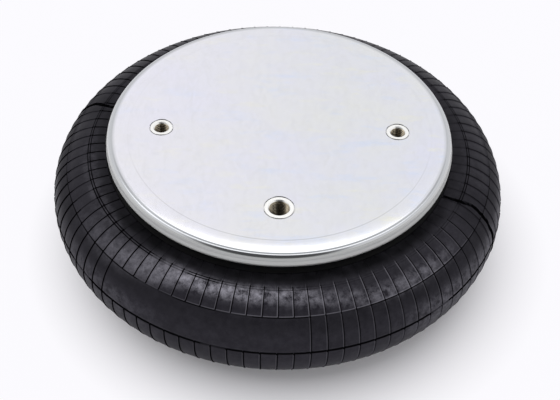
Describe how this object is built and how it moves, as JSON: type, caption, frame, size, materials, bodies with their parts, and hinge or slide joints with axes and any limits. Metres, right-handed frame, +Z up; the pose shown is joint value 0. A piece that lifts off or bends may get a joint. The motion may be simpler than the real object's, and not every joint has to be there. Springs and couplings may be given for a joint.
{
  "type": "air bellows actuator",
  "caption": "Air bellows actuator: ribbed black rubber bulge crimped between round zinc-plated steel bead plates with blind nuts and a threaded air inlet; lifts or isolates along its axis.",
  "frame": {"origin": "centre of the lower mounting face", "axes": "+Z up along the stroke, X through the blind nuts of both plates, the air inlet towards -Y"},
  "size_m": [0.3074, 0.3074, 0.098],
  "materials": {
    "zinc_plate": "bright zinc plating, satin",
    "turned_steel": "turned and zinc plated",
    "weld_steel": "weld bead",
    "hoop_wire": "bronze-coated bead wire",
    "cover_rubber": "moulded, chalky matt",
    "bead_rubber": "moulded",
    "cord_rubber": "calendered textile cord in rubber",
    "liner_rubber": "smooth"
  },
  "bodies": {
    "lower_plate_set": {"bottom_bead_plate": "zinc_plate", "bottom_left_blind_nut": "turned_steel", "bottom_right_blind_nut": "turned_steel", "bottom_left_nut_weld": "weld_steel", "bottom_right_nut_weld": "weld_steel", "bottom_bead_filler": "bead_rubber", "bottom_bead_core": "hoop_wire"},
    "upper_plate_set": {"top_bead_plate": "zinc_plate", "top_left_blind_nut": "turned_steel", "top_right_blind_nut": "turned_steel", "air_inlet_boss": "turned_steel", "top_left_nut_weld": "weld_steel", "top_right_nut_weld": "weld_steel", "air_inlet_weld": "weld_steel", "top_bead_filler": "bead_rubber", "top_bead_core": "hoop_wire"},
    "bellows_wall": {"outer_cover": "cover_rubber", "outer_cord_ply": "cord_rubber", "inner_cord_ply": "cord_rubber", "inner_liner": "liner_rubber"}
  },
  "joints": [
    {"name": "stroke", "type": "slide", "parent": "lower_plate_set", "child": "upper_plate_set", "axis": [0, 0, 1], "range_m": [-0.047, 0.042], "stiffness_N_per_m": 3000, "springref_m": 0.0053, "deforming": ["outer_cover", "outer_cord_ply", "inner_cord_ply", "inner_liner"]},
    {"name": "wall_travel", "type": "slide", "parent": "lower_plate_set", "child": "bellows_wall", "axis": [0, 0, 1], "range_m": [-0.0235, 0.021]}
  ],
  "couplings": [
    {"joint": "wall_travel", "follows": "stroke", "ratio": 0.5}
  ]
}
